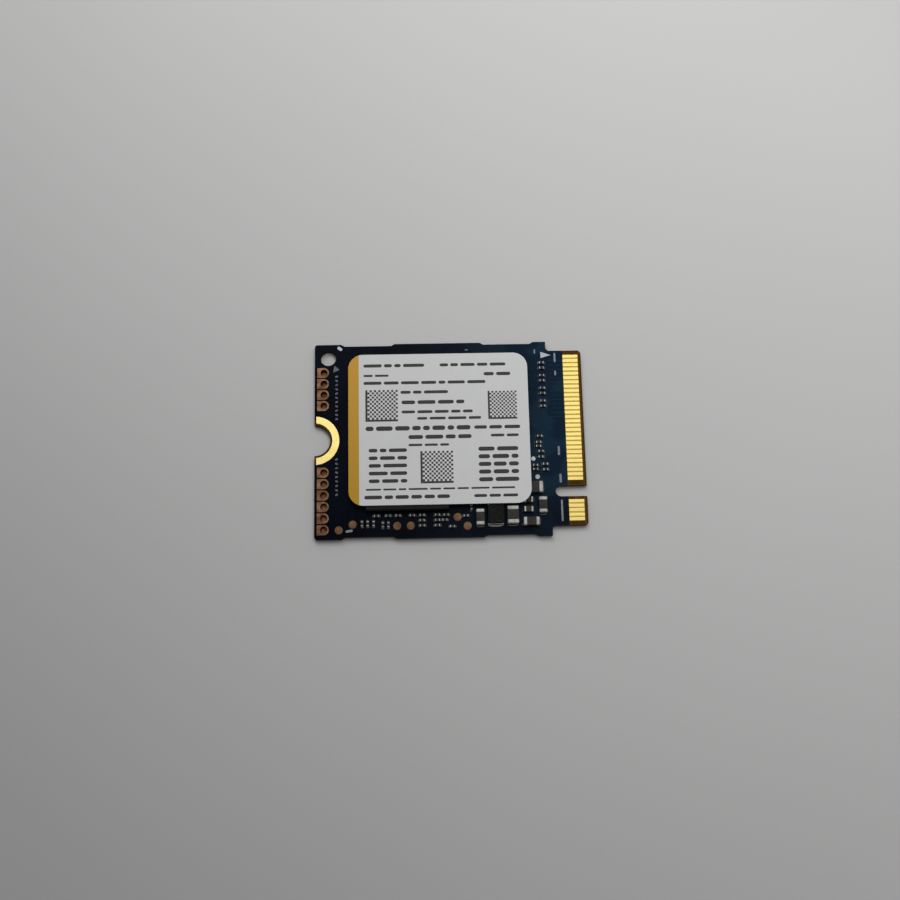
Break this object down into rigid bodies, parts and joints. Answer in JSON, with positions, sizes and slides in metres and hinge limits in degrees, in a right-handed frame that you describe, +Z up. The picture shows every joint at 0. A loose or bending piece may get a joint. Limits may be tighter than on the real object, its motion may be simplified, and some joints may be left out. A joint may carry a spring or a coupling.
{
  "type": "m.2 nvme solid state drive",
  "caption": "Single-sided solid state drive on a small keyed circuit card, with gold contact fingers, a screw notch, chip packages under a white label and small surface-mount parts.",
  "frame": {"origin": "on the underside of the board, under the middle of its outline", "axes": "+X along the card towards the contact fingers, +Y towards the side with the tooling hole, +Z up through the label"},
  "size_m": [0.03, 0.022, 0.0021],
  "materials": {
    "solder_mask": "dark navy solder mask, satin gloss",
    "gold": "gold plate",
    "copper": "bare copper under a clear preservative",
    "tin": "satin tin plate",
    "solder": "bright solder",
    "ceramic": "fired ceramic",
    "black_mould": "matt epoxy mould",
    "inductor_black": "pressed metal powder",
    "label_film": "white film, satin",
    "crystal_lid": "plated lid on a ceramic base"
  },
  "bodies": {
    "root": {"circuit_board": "solder_mask", "top_contact_fingers": "gold", "bottom_contact_fingers": "gold", "screw_lands": "gold", "upper_edge_pads": "copper", "lower_edge_pads": "copper", "test_points": "copper", "left_power_capacitor_end_caps": "tin", "right_power_capacitor_end_caps": "tin", "corner_capacitor_end_caps": "tin", "key_capacitor_end_caps": "tin", "label_edge_capacitor_end_caps": "tin", "lower_small_capacitor_end_caps": "tin", "upper_small_capacitor_end_caps": "tin", "coupling_capacitor_ends": "tin", "control_part_ends": "tin", "strip_part_ends": "tin", "power_inductor_terminals": "tin", "fiducial_pads": "tin", "solder_joints": "solder", "flash_solder_balls": "solder", "controller_solder_balls": "solder", "left_power_capacitor_body": "ceramic", "right_power_capacitor_body": "ceramic", "corner_capacitor_body": "ceramic", "key_capacitor_body": "ceramic", "label_edge_capacitor_body": "ceramic", "lower_small_capacitor_body": "ceramic", "upper_small_capacitor_body": "ceramic", "coupling_capacitor_bodies": "ceramic", "control_part_bodies": "ceramic", "strip_part_bodies": "ceramic", "flash_package": "black_mould", "controller_package": "black_mould", "power_chip": "black_mould", "power_inductor_core": "inductor_black", "label": "label_film", "clock_crystal": "crystal_lid"}
  },
  "joints": []
}
